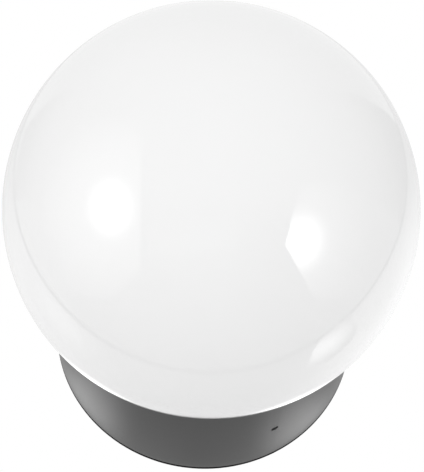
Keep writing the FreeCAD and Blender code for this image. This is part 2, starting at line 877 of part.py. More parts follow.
def main():
    os.makedirs("parts", exist_ok=True)
    save("mounting_plate", make_mounting_plate())
    save("cable_grommet", make_cable_grommet())
    save("lampholder_bracket", make_lampholder_bracket())
    save("bracket_screws", make_bracket_screws())
    save("lampholder_body", make_lampholder_body())
    save("lampholder_screws", make_lampholder_screws())
    save("lampholder_sleeve", make_lampholder_sleeve())
    save("centre_contact", make_centre_contact())
    save("side_contact", make_side_contact())
    save("contact_screws", make_contact_screws())
    save("terminal_block", make_terminal_block())
    save("terminal_inserts", make_terminal_inserts())
    save("clamp_screws", make_clamp_screws())
    save("terminal_block_screw", make_block_screw())
    save("earth_lug", make_earth_lug())
    save("earth_washer", make_earth_washer())
    save("earth_screw", make_earth_screw())
    save("live_wire", make_lamp_wire("live_wire", 1, 1))
    save("neutral_wire", make_lamp_wire("neutral_wire", 0, -1))
    save("earth_wire", make_earth_wire())
    save("housing", make_housing())
    save("wall_gasket", make_wall_gasket())
    for i, angle in enumerate(screw_angles()):
        save("housing_screw_" + str(i + 1), make_housing_screw(angle))
        save("screw_pad_" + str(i + 1), make_screw_pad(angle))
    save("globe", make_globe())
    save("globe_seal", make_globe_seal())
    save("lamp_contact", make_lamp_contact())
    save("lamp_insulator", make_lamp_insulator())
    save("lamp_cap", make_lamp_cap())
    save("lamp_body", make_lamp_body())
    save("lamp_diffuser", make_lamp_diffuser())
    save("led_board", make_led_board())
    save("driver_board", make_driver_board())


main()
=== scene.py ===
import bpy
import bmesh
import json
import math
from mathutils import Matrix, Vector


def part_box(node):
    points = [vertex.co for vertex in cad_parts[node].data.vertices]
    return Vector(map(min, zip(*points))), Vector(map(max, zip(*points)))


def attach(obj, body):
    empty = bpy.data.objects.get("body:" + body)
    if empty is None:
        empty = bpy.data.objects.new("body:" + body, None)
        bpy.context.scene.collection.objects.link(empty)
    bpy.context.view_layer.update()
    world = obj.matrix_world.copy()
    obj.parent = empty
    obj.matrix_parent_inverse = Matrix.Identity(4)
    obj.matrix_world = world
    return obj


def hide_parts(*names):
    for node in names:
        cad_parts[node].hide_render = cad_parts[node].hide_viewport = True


# Outdoor wall light: opal glass globe on a round graphite base.
# Metres, +Z up, +Y into the wall. The globe stands out along -Y.

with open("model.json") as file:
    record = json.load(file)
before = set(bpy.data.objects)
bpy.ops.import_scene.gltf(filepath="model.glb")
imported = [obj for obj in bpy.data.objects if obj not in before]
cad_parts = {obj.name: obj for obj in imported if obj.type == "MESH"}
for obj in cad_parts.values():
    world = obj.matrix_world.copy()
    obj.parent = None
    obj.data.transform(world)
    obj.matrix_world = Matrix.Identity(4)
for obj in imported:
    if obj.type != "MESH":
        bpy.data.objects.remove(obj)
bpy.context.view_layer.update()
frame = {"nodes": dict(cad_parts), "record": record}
nodes = frame["nodes"]
mm = 0.001
print("frame loaded with", len(nodes), "nodes")


# How high the back and the front of a node stand above the wall
def heights(node):
    low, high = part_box(node)
    return -high.y, -low.y


globeGlass = {
    "radius": 100 * mm,
    "wall": 3 * mm,
    "neckRadius": 49.5 * mm,
    "lipRound": 1 * mm,
    "threadDepth": 1.3 * mm,
    "threadPitch": 8 * mm,
    "threadFade": 3 * mm,
    "threadEase": 0.2,  # how far the crests sink at the thread's ends
    "rowHeight": 0.5 * mm,
    "lipSteps": 6,
    "arcSteps": 150,
    "steps": 256,
    "crease": 30,  # an edge that bends by more degrees stays sharp
}
globeBack, globeFront = heights("globe")
ballHeight = globeFront - globeGlass["radius"]
globeCentre = Vector((0, -ballHeight, 0))

# Camera at the photograph's viewing angle

photo = {
    "size": (424, 472),
    "globePixel": (211.3, 209.65),  # where the globe's centre lies
    "focalPixels": 2693.6,
    "distance": 1.29,
    "azimuth": math.radians(-1.54),
    "elevation": math.radians(-24.57),
    "sensor": 36,
    "clip": (0.05, 50),
}


def cameraAxes():
    a = photo["azimuth"]
    e = photo["elevation"]
    forward = Vector((-math.sin(a) * math.cos(e), math.cos(a) * math.cos(e), -math.sin(e)))
    right = Vector((math.cos(a), math.sin(a), 0))
    return right, right.cross(forward), forward


def basis(x, y, z, place):
    return Matrix((
        (x.x, y.x, z.x, place.x),
        (x.y, y.y, z.y, place.y),
        (x.z, y.z, z.z, place.z),
        (0, 0, 0, 1),
    ))


def sightLine(pixel):
    right, up, forward = cameraAxes()
    width, height = photo["size"]
    across = pixel[0] - width / 2
    down = pixel[1] - height / 2
    return (right * across - up * down + forward * photo["focalPixels"]).normalized()


def makeCamera():
    right, up, forward = cameraAxes()
    data = bpy.data.cameras.new("photoCamera")
    data.sensor_width = photo["sensor"]
    data.sensor_height = photo["sensor"]
    data.lens = photo["sensor"] * photo["focalPixels"] / photo["size"][1]
    data.clip_start, data.clip_end = photo["clip"]
    camera = bpy.data.objects.new("photoCamera", data)
    bpy.context.scene.collection.objects.link(camera)
    place = globeCentre - sightLine(photo["globePixel"]) * photo["distance"]
    camera.matrix_world = basis(right, up, -forward, place)
    bpy.context.scene.camera = camera


makeCamera()
print("camera placed")

# Studio: white world, pale floor, key light, a board on the wall side and lamp panels


def link(name, mesh):
    made = bpy.data.objects.new(name, mesh)
    bpy.context.scene.collection.objects.link(made)
    return made


def newMaterial(name):
    material = bpy.data.materials.new(name)
    material.use_nodes = True
    tree = material.node_tree
    tree.nodes.clear()
    output = tree.nodes.new("ShaderNodeOutputMaterial")
    return material, tree, output


def mathNode(tree, operation, first, second=None):
    node = tree.nodes.new("ShaderNodeMath")
    node.operation = operation
    for socket, value in zip(node.inputs, (first, second)):
        if value is None:
            continue
        if isinstance(value, (int, float)):
            socket.default_value = value
        else:
            tree.links.new(value, socket)
    return node.outputs[0]


def whiteBackgroundShare(tree):
    path = tree.nodes.new("ShaderNodeLightPath")
    seen = mathNode(tree, "MAXIMUM", path.outputs["Is Camera Ray"], path.outputs["Is Glossy Ray"])
    return mathNode(tree, "MAXIMUM", seen, path.outputs["Is Transmission Ray"])


studio = {
    "worldLight": 0.92,
    "floorDrop": 1.25,
    "floorRadius": 4,
    "floorFade": 1.5,  # from here to its rim it turns into the background
    "floorSteps": 120,
    "floorColour": (0.84, 0.84, 0.84, 1),
}


def makeWorld():
    world = bpy.data.worlds.new("plainWorld")
    bpy.context.scene.world = world
    world.use_nodes = True
    tree = world.node_tree
    tree.nodes.clear()
    output = tree.nodes.new("ShaderNodeOutputWorld")
    background = tree.nodes.new("ShaderNodeBackground")
    background.inputs["Color"].default_value = (1, 1, 1, 1)
    share = whiteBackgroundShare(tree)
    rest = mathNode(tree, "MULTIPLY", share, 1 - studio["worldLight"])
    tree.links.new(mathNode(tree, "ADD", rest, studio["worldLight"]), background.inputs["Strength"])
    tree.links.new(background.outputs[0], output.inputs["Surface"])


# The pale floor turns into the white background towards its rim
def floorMaterial(name, colour, fadeStart, fadeEnd):
    material, tree, output = newMaterial(name)
    pale = tree.nodes.new("ShaderNodeBsdfDiffuse")
    pale.inputs["Color"].default_value = colour
    white = tree.nodes.new("ShaderNodeEmission")
    white.inputs["Strength"].default_value = 1
    place = tree.nodes.new("ShaderNodeTexCoord")
    away = tree.nodes.new("ShaderNodeVectorMath")
    away.operation = "LENGTH"
    tree.links.new(place.outputs["Object"], away.inputs[0])
    fade = tree.nodes.new("ShaderNodeMapRange")
    fade.interpolation_type = "SMOOTHSTEP"
    fade.inputs["From Min"].default_value = fadeStart
    fade.inputs["From Max"].default_value = fadeEnd
    tree.links.new(away.outputs["Value"], fade.inputs["Value"])
    mix = tree.nodes.new("ShaderNodeMixShader")
    share = mathNode(tree, "MULTIPLY", fade.outputs["Result"], whiteBackgroundShare(tree))
    tree.links.new(share, mix.inputs[0])
    tree.links.new(pale.outputs[0], mix.inputs[1])
    tree.links.new(white.outputs[0], mix.inputs[2])
    tree.links.new(mix.outputs[0], output.inputs["Surface"])
    return material


def makeFloor():
    radius = studio["floorRadius"]
    count = studio["floorSteps"]
    turns = [2 * math.pi * i / count for i in range(count)]
    rim = [(radius * math.cos(turn), radius * math.sin(turn), 0) for turn in turns]
    mesh = bpy.data.meshes.new("studioFloor")
    mesh.from_pydata(rim, [], [tuple(range(count))])
    floor = link("studioFloor", mesh)
    floor.location = (0, globeCentre.y, -studio["floorDrop"])
    mesh.materials.append(floorMaterial("paleFloor", studio["floorColour"], studio["floorFade"], radius))


# A plain light with pools of more or less light: middle, inner and outer radius, strength added
def glowMaterial(name, level, pools=()):
    material, tree, output = newMaterial(name)
    shader = tree.nodes.new("ShaderNodeEmission")
    shader.inputs["Strength"].default_value = level
    place = tree.nodes.new("ShaderNodeTexCoord")
    light = level
    for middle, inner, outer, strength in pools:
        away = tree.nodes.new("ShaderNodeVectorMath")
        away.operation = "DISTANCE"
        away.inputs[1].default_value = middle
        tree.links.new(place.outputs["Object"], away.inputs[0])
        fall = tree.nodes.new("ShaderNodeMapRange")
        fall.interpolation_type = "SMOOTHERSTEP"
        fall.inputs["From Min"].default_value = inner
        fall.inputs["From Max"].default_value = outer
        fall.inputs["To Min"].default_value = strength
        fall.inputs["To Max"].default_value = 0
        tree.links.new(away.outputs["Value"], fall.inputs["Value"])
        light = mathNode(tree, "ADD", fall.outputs["Result"], light)
    if pools:
        tree.links.new(mathNode(tree, "MAXIMUM", light, 0), shader.inputs["Strength"])
    tree.links.new(shader.outputs[0], output.inputs["Surface"])
    return material


keyPanel = {
    "direction": (-0.23, -0.86, -0.44),
    "distance": 1.6,
    "size": 1.5,
    "strength": 1.66,
}


# Soft key light, kept out of reflections
def makeKeyPanel():
    k = keyPanel
    toward = Vector(k["direction"]).normalized()
    across = Vector((0, 0, 1)).cross(toward).normalized()
    half = k["size"] / 2
    mesh = bpy.data.meshes.new("keyPanel")
    corners = [(-half, -half, 0), (half, -half, 0), (half, half, 0), (-half, half, 0)]
    mesh.from_pydata(corners, [], [(0, 1, 2, 3)])
    mesh.materials.append(glowMaterial("keyLight", k["strength"]))
    panel = link("keyPanel", mesh)
    panel.matrix_world = basis(across, toward.cross(across), toward, globeCentre + toward * k["distance"])
    panel.visible_camera = False
    panel.visible_glossy = False


# Glowing board on the wall side, hidden from the camera: an even glow with painted pools of light and
# painted shade, and a dimmer rim of painted shade
wallBoard = {
    "hole": 79 * mm,  # the light's own base fills it
    "across": 355 * mm,  # half its width and half its height
    "upright": 285 * mm,
    "middle": (30 * mm, -58 * mm),
    "edge": 22 * mm,
    "edgeDrop": 20 * mm,
    "gap": 0.3 * mm,
    "steps": 96,
    "level": 0.85,
    # the rim band glows dimmer: painted shade along the board's edge
    "edgeLevel": 0.35,
    # pools of light or shade: place, inner and outer radius in metres, strength added
    "pools": (
        # painted light beside the base, painted shade just below it, and broader painted light further out
        ((-0.067, 0, -0.049), 0, 0.041, 1.38),
        ((0.055, 0, -0.062), 0, 0.040, 1.34),
        ((0, 0, -0.078), 0, 0.032, -0.13),
        ((0.255, 0, -0.080), 0.05, 0.24, 0.55),
        ((-0.260, 0, -0.080), 0.05, 0.24, 0.25),
        ((-0.240, 0, -0.130), 0, 0.11, 0.35),
    ),
}


def makeWallBoard():
    b = wallBoard
    mesh = bpy.data.meshes.new("wallBoard")
    points = []
    faces = []
    across, upright = b["middle"]
    rings = (
        (b["hole"], b["hole"], 0, 0),
        (b["across"], b["upright"], across, upright),
        (b["across"] + b["edge"], b["upright"] + b["edge"], across, upright - b["edgeDrop"]),
    )
    for wide, high, x, z in rings:
        for i in range(b["steps"]):
            angle = 2 * math.pi * i / b["steps"]
            points.append((x + wide * math.cos(angle), b["gap"], z + high * math.sin(angle)))
    for ring in range(len(rings) - 1):
        for i in range(b["steps"]):
            j = (i + 1) % b["steps"]
            low = ring * b["steps"]
            faces.append((low + i, low + j, low + j + b["steps"], low + i + b["steps"]))
    mesh.from_pydata(points, [], faces)
    mesh.materials.append(glowMaterial("boardLight", b["level"], b["pools"]))
    mesh.materials.append(glowMaterial("boardEdgeShade", b["edgeLevel"]))
    for face in mesh.polygons:
        face.material_index = face.index // b["steps"]
    board = link("wallBoard", mesh)
    board.visible_camera = False


# Lamp panels and shades are placed by the pixels of the globe that reflect them in the photograph.
# A glow is a pixel, a radius in metres and the strength added there.
panelDistance = 1.2
lampPanels = {
    "leftPanel": {
        "outline": ((141, 133), (141, 165), (141, 190), (141, 215), (141, 240), (141, 270), (112, 300),
                    (70, 290), (46, 240), (48, 170), (80, 118), (112, 118)),
        "glows": (((108, 208), 1.2, 1.25), ((110, 208), 0.385, 6.0), ((133, 151), 0.07, 0.9)),
    },
    "rightPanel": {
        "outline": ((285, 245), (300, 272), (313, 297), (345, 300), (372, 262), (368, 205), (340, 180),
                    (302, 186), (292, 215)),
        "glows": (((305, 243), 1.0, 1.0), ((301, 243), 0.42, 6.0)),
    },
    "upperRightShade": {
        "outline": ((282, 115), (300, 102), (335, 90), (372, 103), (400, 130), (408, 180), (403, 232),
                    (372, 200), (335, 175), (300, 180)),
        "glows": (((398, 148), 1.0, -0.28), ((380, 140), 1.8, -0.06)),
    },
    "upperLeftShade": {
        "outline": ((125, 95), (92, 86), (60, 93), (38, 112), (25, 130), (17, 165), (15, 200), (40, 200),
                    (60, 140), (100, 110)),
        "glows": (((24, 150), 0.8, -0.25),),
    },
}
# This one lies on the board: a painted streak of light there, seen only in reflections
lowerRightLightStreak = {
    "outline": ((350, 315), (333, 328), (320, 340), (313, 351), (307, 366), (330, 360), (352, 340),
                (358, 326)),
    "glow": ((322, 347), 0.12, 1.75),
    "lift": 0.2 * mm,
}


# The line of sight that a pixel of the globe reflects: where it leaves the globe and its direction
def reflectedRay(pixel):
    eye = bpy.context.scene.camera.matrix_world.translation
    sight = sightLine(pixel)
    toGlobe = globeCentre - eye
    along = toGlobe.dot(sight)
    chord = globeGlass["radius"] ** 2 - toGlobe.length_squared + along ** 2
    hit = eye + sight * (along - math.sqrt(chord))
    normal = (hit - globeCentre).normalized()
    return hit, sight - normal * (2 * sight.dot(normal))


def reflectedPlace(pixel):
    hit, bounced = reflectedRay(pixel)
    start = hit - globeCentre
    back = start.dot(bounced)
    reach = -back + math.sqrt(back ** 2 - start.length_squared + panelDistance ** 2)
    return hit + bounced * reach


def reflectedOnWall(pixel, lift):
    hit, bounced = reflectedRay(pixel)
    return hit + bounced * ((wallBoard["gap"] - lift - hit.y) / bounced.y)


# Seen only in reflections
def makePanel(name, corners, middle, level, pools):
    count = len(corners)
    mesh = bpy.data.meshes.new(name)
    mesh.from_pydata(corners + [middle], [], [(i, (i + 1) % count, count) for i in range(count)])
    mesh.materials.append(glowMaterial(name, level, pools))
    panel = link(name, mesh)
    panel.visible_camera = False
    panel.visible_diffuse = False


def makeLampPanels():
    for name, look in lampPanels.items():
        corners = [reflectedPlace(pixel) for pixel in look["outline"]]
        pools = [(reflectedPlace(pixel), 0, radius, strength) for pixel, radius, strength in look["glows"]]
        makePanel(name, corners, pools[0][0], 1, pools)


def makeStreak():
    look = lowerRightLightStreak
    corners = [reflectedOnWall(pixel, look["lift"]) for pixel in look["outline"]]
    pixel, radius, strength = look["glow"]
    middle = reflectedOnWall(pixel, look["lift"])
    makePanel("lowerRightLightStreak", corners, middle, wallBoard["level"], [(middle, 0, radius, strength)])


makeWorld()
makeFloor()
makeWallBoard()
makeKeyPanel()
makeLampPanels()
makeStreak()
print("studio built")

# Finishes. The drift is how far the colour wanders, the grain is a small bump.

plainFinish = {"metal": 0, "specular": 0.5, "grain": 0.00001, "grainScale": 1500}
finishes = {
    "opalGlass": {"colour": (0.88, 0.88, 0.88), "roughness": 0.04, "drift": 0.01, "driftScale": 9,
                  "grain": 0.000015, "grainScale": 30},
    "graphiteCoat": {"colour": (0.062, 0.062, 0.062), "roughness": 0.36, "specular": 0.08, "drift": 0.10,
                     "driftScale": 2600, "grain": 0.00002, "grainScale": 2600},
    "blackRubber": {"colour": (0.008, 0.008, 0.008), "roughness": 0.7, "specular": 0.03, "drift": 0.15,
                    "driftScale": 900, "grain": 0.00003, "grainScale": 1800},
    "silicone": {"colour": (0.6, 0.6, 0.58), "roughness": 0.45, "drift": 0.03, "driftScale": 300,
                 "grainScale": 900},
    "zincSteel": {"colour": (0.58, 0.59, 0.6), "metal": 1, "roughness": 0.34, "drift": 0.12,
                  "driftScale": 160, "grainScale": 1200},
    "zincScrew": {"colour": (0.62, 0.63, 0.64), "metal": 1, "roughness": 0.28, "drift": 0.08,
                  "driftScale": 500},
    "stainless": {"colour": (0.5, 0.5, 0.5), "metal": 1, "roughness": 0.32, "drift": 0.08,
                  "driftScale": 500},
    "porcelain": {"colour": (0.84, 0.83, 0.79), "roughness": 0.12, "drift": 0.03, "driftScale": 90,
                  "grain": 0.00003, "grainScale": 260},
    "brassFinish": {"colour": (0.78, 0.58, 0.27), "metal": 1, "roughness": 0.26, "drift": 0.1,
                    "driftScale": 300},
    "whiteNylon": {"colour": (0.8, 0.79, 0.74), "roughness": 0.5, "drift": 0.03, "driftScale": 400,
                   "grain": 0.00002},
    "brownSheath": {"colour": (0.12, 0.05, 0.025), "roughness": 0.38, "drift": 0.08, "driftScale": 300},
    "blueSheath": {"colour": (0.025, 0.09, 0.34), "roughness": 0.38, "drift": 0.08, "driftScale": 300},
    "blackGlaze": {"colour": (0.015, 0.015, 0.02), "roughness": 0.15, "drift": 0.1, "driftScale": 300,
                   "grainScale": 800},
    "capMetal": {"colour": (0.72, 0.71, 0.69), "metal": 1, "roughness": 0.24, "drift": 0.08,
                 "driftScale": 220},
    "lampPlastic": {"colour": (0.84, 0.84, 0.83), "roughness": 0.3, "drift": 0.02, "driftScale": 200},
    "lampFrost": {"colour": (0.88, 0.88, 0.86), "roughness": 0.55, "drift": 0.015, "driftScale": 200,
                  "grainScale": 2500},
    "boardWhite": {"colour": (0.82, 0.82, 0.81), "roughness": 0.4, "drift": 0.03, "driftScale": 400},
    "boardGreen": {"colour": (0.02, 0.16, 0.06), "roughness": 0.35, "drift": 0.15, "driftScale": 700},
}
texture = {
    "driftDetail": 3,
    "grainDetail": 2,
    "driftRamp": (0.3, 0.7),  # noise values of the darkest and the palest colour
    "roughnessSpread": 0.15,
}


def noiseValue(tree, place, scale, detail):
    noise = tree.nodes.new("ShaderNodeTexNoise")
    noise.inputs["Scale"].default_value = scale
    noise.inputs["Detail"].default_value = detail
    tree.links.new(place, noise.inputs["Vector"])
    return noise.outputs["Fac"]


def driftedColour(tree, colour, drift, factor):
    ramp = tree.nodes.new("ShaderNodeValToRGB")
    dark, pale = ramp.color_ramp.elements
    dark.position, pale.position = texture["driftRamp"]
    dark.color = [c * (1 - drift) for c in colour] + [1]
    pale.color = [min(1, c * (1 + drift)) for c in colour] + [1]
    tree.links.new(factor, ramp.inputs["Fac"])
    return ramp.outputs["Color"]


def makeFinish(name, ownLook):
    look = plainFinish | ownLook
    material, tree, output = newMaterial(name)
    shader = tree.nodes.new("ShaderNodeBsdfPrincipled")
    place = tree.nodes.new("ShaderNodeTexCoord").outputs["Object"]
    broad = noiseValue(tree, place, look["driftScale"], texture["driftDetail"])
    tree.links.new(driftedColour(tree, look["colour"], look["drift"], broad), shader.inputs["Base Color"])
    spread = tree.nodes.new("ShaderNodeMapRange")
    spread.inputs["To Min"].default_value = look["roughness"] * (1 - texture["roughnessSpread"])
    spread.inputs["To Max"].default_value = look["roughness"] * (1 + texture["roughnessSpread"])
    tree.links.new(broad, spread.inputs["Value"])
    tree.links.new(spread.outputs["Result"], shader.inputs["Roughness"])
    bump = tree.nodes.new("ShaderNodeBump")
    bump.inputs["Distance"].default_value = look["grain"]
    bump.inputs["Strength"].default_value = 1
    grain = noiseValue(tree, place, look["grainScale"], texture["grainDetail"])
    tree.links.new(grain, bump.inputs["Height"])
    tree.links.new(bump.outputs["Normal"], shader.inputs["Normal"])
    shader.inputs["Metallic"].default_value = look["metal"]
    shader.inputs["Specular IOR Level"].default_value = look["specular"]
    tree.links.new(shader.outputs[0], output.inputs["Surface"])
    return material


materials = {name: makeFinish(name, look) for name, look in finishes.items()}

earthCover = {
    "green": (0.02, 0.25, 0.04, 1),
    "yellow": (0.75, 0.6, 0.02, 1),
    "yellowFrom": -8.5 * mm,
    "roughness": 0.38,
}


def makeEarthSheath():
    material, tree, output = newMaterial("earthSheath")
    shader = tree.nodes.new("ShaderNodeBsdfPrincipled")
    place = tree.nodes.new("ShaderNodeTexCoord").outputs["Object"]
    split = tree.nodes.new("ShaderNodeSeparateXYZ")
    tree.links.new(place, split.inputs[0])
    band = mathNode(tree, "GREATER_THAN", split.outputs["Y"], earthCover["yellowFrom"])
    ramp = tree.nodes.new("ShaderNodeValToRGB")
    ramp.color_ramp.interpolation = "CONSTANT"
    green, yellow = ramp.color_ramp.elements
    green.color = earthCover["green"]
    yellow.position = 0.5
    yellow.color = earthCover["yellow"]
    tree.links.new(band, ramp.inputs["Fac"])
    tree.links.new(ramp.outputs["Color"], shader.inputs["Base Color"])
    shader.inputs["Roughness"].default_value = earthCover["roughness"]
    tree.links.new(shader.outputs[0], output.inputs["Surface"])
    return material


materials["earthSheath"] = makeEarthSheath()

finishOfSlot = {
    "opal_glass": "opalGlass",
    "graphite_coating": "graphiteCoat",
    "black_rubber": "blackRubber",
    "silicone": "silicone",
    "zinc_steel": "zincSteel",
    "plated_screw": "zincScrew",
    "stainless": "stainless",
    "porcelain": "porcelain",
    "brass": "brassFinish",
    "nylon": "whiteNylon",
    "brown_wire": "brownSheath",
    "blue_wire": "blueSheath",
    "earth_wire_cover": "earthSheath",
    "black_glaze": "blackGlaze",
    "cap_metal": "capMetal",
    "lamp_plastic": "lampPlastic",
    "lamp_frost": "lampFrost",
    "board_white": "boardWhite",
    "board_green": "boardGreen",
}
slotOfNode = {part["node"]: part["material_slot"] for part in frame["record"]["subparts"]}
for name, node in nodes.items():
    node.data.materials.clear()
    node.data.materials.append(materials[finishOfSlot[slotOfNode[name]]])
print("finishes made and set on the CAD nodes")

# Turned shapes: a profile of (radius, height above the wall), turned about the lamp's axis.
# A third number in a profile point is how deep the screw thread cuts there.

mergeDistance = 1e-7


def threadShare(height, low, high, fade):
    return max(0, min(1, (height - low) / fade, (high - height) / fade))


def threadedRadius(point, angle, pitch):
    if len(point) < 3 or point[2] == 0:
        return point[0]
    phase = 2 * math.pi * point[1] / pitch - angle
    return point[0] - point[2] * (1 - math.cos(phase)) / 2


def turnedMesh(name, profile, steps, pitch=1):
    mesh = bpy.data.meshes.new(name)
    points = []
    faces = []
    count = len(profile)
    for i in range(steps):
        angle = 2 * math.pi * i / steps
        for point in profile:
            r = threadedRadius(point, angle, pitch)
            points.append((r * math.cos(angle), -point[1], r * math.sin(angle)))
    for i in range(steps):
        here = i * count
        there = (i + 1) % steps * count
        for j in range(count):
            k = (j + 1) % count
            faces.append((here + j, there + j, there + k, here + k))
    mesh.from_pydata(points, [], faces)
    cleaned = bmesh.new()
    cleaned.from_mesh(mesh)
    bmesh.ops.remove_doubles(cleaned, verts=cleaned.verts, dist=mergeDistance)
    loose = [edge for edge in cleaned.edges if not edge.link_faces]
    bmesh.ops.delete(cleaned, geom=loose, context="EDGES")
    bmesh.ops.recalc_face_normals(cleaned, faces=cleaned.faces)
    cleaned.to_mesh(mesh)
    cleaned.free()
    return mesh


def arcPoints(centre, radius, start, end, count):
    points = []
    for i in range(count + 1):
        angle = math.radians(start + (end - start) * i / count)
        points.append((centre[0] + radius * math.cos(angle), centre[1] + radius * math.sin(angle)))
    return points


def arcThrough(first, middle, last, count):
    (ax, ay), (bx, by), (cx, cy) = first, middle, last
    d = 2 * (ax * (by - cy) + bx * (cy - ay) + cx * (ay - by))
    a, b, c = ax * ax + ay * ay, bx * bx + by * by, cx * cx + cy * cy
    x = (a * (by - cy) + b * (cy - ay) + c * (ay - by)) / d
    y = (a * (cx - bx) + b * (ax - cx) + c * (bx - ax)) / d
    start = math.degrees(math.atan2(ay - y, ax - x))
    end = math.degrees(math.atan2(cy - y, cx - x))
    sweep = (end - start + 180) % 360 - 180
    return arcPoints((x, y), math.hypot(ax - x, ay - y), start, start + sweep, count)


def shadeByAngle(piece, crease):
    piece.data.shade_smooth()
    cleaned = bmesh.new()
    cleaned.from_mesh(piece.data)
    for edge in cleaned.edges:
        if len(edge.link_faces) == 2 and edge.calc_face_angle(0) > math.radians(crease):
            edge.smooth = False
    cleaned.to_mesh(piece.data)
    cleaned.free()


def settle(piece, body, slot, node):
    piece.data.materials.clear()
    piece.data.materials.append(materials[finishOfSlot[slot]])
    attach(piece, body)
    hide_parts(node)


def globeProfile():
    g = globeGlass
    centre = (0, ballHeight)
    neckCrest = g["neckRadius"]
    depth = g["threadDepth"]
    innerRadius = g["radius"] - g["wall"]
    innerNeck = g["neckRadius"] - g["wall"]
    outerAngle = math.degrees(math.acos(g["neckRadius"] / g["radius"]))
    innerAngle = math.degrees(math.acos(innerNeck / innerRadius))
    threadLow = globeBack + g["lipRound"]
    threadHigh = ballHeight - g["radius"] * math.sin(math.radians(outerAngle))
    rows = int((threadHigh - threadLow) / g["rowHeight"])
    profile = arcPoints((neckCrest - depth, threadLow), g["lipRound"], -90, 0, g["lipSteps"])
    for i in range(1, rows):
        height = threadLow + (threadHigh - threadLow) * i / rows
        sunk = g["threadEase"] * (1 - threadShare(height, threadLow, threadHigh, g["threadFade"]))
        profile.append((neckCrest - depth * sunk, height, depth * (1 - sunk)))
    profile += arcPoints(centre, g["radius"], -outerAngle, 90, g["arcSteps"])
    profile += arcPoints(centre, innerRadius, 90, -innerAngle, g["arcSteps"])
    profile += [(innerNeck, globeBack)]
    return profile


def makeGlobe():
    g = globeGlass
    mesh = turnedMesh("globe_glass", globeProfile(), g["steps"], g["threadPitch"])
    piece = link("globe_glass", mesh)
    shadeByAngle(piece, g["crease"])
    settle(piece, "globe", "opal_glass", "globe")


makeGlobe()
print("globe made")

# Housing: a die-cast can with a web, a collar for the globe's neck, ribs and screw bosses

housingCast = {
    "radius": 77.5 * mm,
    "bore": 74.5 * mm,
    "frontRound": 1.2 * mm,
    "backRound": 0.6 * mm,
    "innerFillet": 1.2 * mm,
    "collarBevel": 0.6 * mm,
    "mouthBevel": 0.4 * mm,
    "webThickness": 3 * mm,
    "collarBore": 49.8 * mm,
    "collarRadius": 54.8 * mm,
    "collarLength": 15 * mm,
    "ribs": 6,
    "ribWidth": 2.5 * mm,
    "ribHeight": 9 * mm,
    "bossRadius": 4.5 * mm,
    "bossInner": 69.5 * mm,
    "holeRadius": 2.05 * mm,
    "screwBelowWeb": 8 * mm,
    "holeOverrun": 2 * mm,
    "screwAngles": (-63, 57, 177),
    "backSteps": 6,
    "frontSteps": 8,
    "filletSteps": 4,
    "holeSteps": 32,
    "steps": 256,
    "crease": 30,
}
# The globe's seal lies on the collar, so the seal's back is the collar's front
collarFront = heights("globe_seal")[0]
webLow = collarFront - housingCast["collarLength"]
webHigh = webLow + housingCast["webThickness"]


def housingProfile():
    c = housingCast
    back, front = heights("housing")
    outer = c["radius"]
    bore = c["bore"]
    collar = c["collarRadius"]
    f = c["innerFillet"]
    bevel = c["collarBevel"]
    mouth = c["mouthBevel"]
    profile = [(bore, back)]
    profile += arcPoints((outer - c["backRound"], back + c["backRound"]), c["backRound"], -90, 0,
                         c["backSteps"])
    profile += arcPoints((outer - c["frontRound"], front - c["frontRound"]), c["frontRound"], 0, 90,
                         c["frontSteps"])
    profile += [(bore, front)]
    profile += arcPoints((bore - f, webHigh + f), f, 0, -90, c["filletSteps"])
    profile += arcPoints((collar + f, webHigh + f), f, -90, -180, c["filletSteps"])
    profile += [(collar, collarFront - bevel), (collar - bevel, collarFront)]
    profile += [(c["collarBore"] + mouth, collarFront), (c["collarBore"], collarFront - mouth)]
    profile += [(c["collarBore"], webLow)]
    profile += arcPoints((bore - f, webLow - f), f, 90, 0, c["filletSteps"])
    return profile


def boxMesh(name, low, high):
    x0, y0, z0 = low
    x1, y1, z1 = high
    points = [(x, y, z) for x in (x0, x1) for y in (y0, y1) for z in (z0, z1)]
    faces = [(0, 1, 3, 2), (4, 6, 7, 5), (0, 4, 5, 1), (2, 3, 7, 6), (0, 2, 6, 4), (1, 5, 7, 3)]
    mesh = bpy.data.meshes.new(name)
    mesh.from_pydata(points, [], faces)
    return mesh


def rodMesh(name, radius, start, end, steps):
    shape = bmesh.new()
    bmesh.ops.create_cone(shape, cap_ends=True, segments=steps, radius1=radius, radius2=radius,
                          depth=end - start)
    mesh = bpy.data.meshes.new(name)
    shape.to_mesh(mesh)
    shape.free()
    turn = Matrix.Rotation(math.radians(90), 4, "Y")
    mesh.transform(Matrix.Translation(((start + end) / 2, 0, 0)) @ turn)
    return mesh


def combine(piece, tools, operation):
    for tool in tools:
        step = piece.modifiers.new(operation, "BOOLEAN")
        step.operation = operation
        step.solver = "EXACT"
        step.object = tool
    bpy.context.view_layer.update()
    graph = bpy.context.evaluated_depsgraph_get()
    finished = bpy.data.meshes.new_from_object(piece.evaluated_get(graph))
    piece.modifiers.clear()
    piece.data = finished
    for tool in tools:
        bpy.data.objects.remove(tool)


def spun(name, mesh, angle, height):
    tool = link(name, mesh)
    tool.matrix_world = Matrix.Translation((0, -height, 0)) @ Matrix.Rotation(math.radians(-angle), 4, "Y")
    return tool


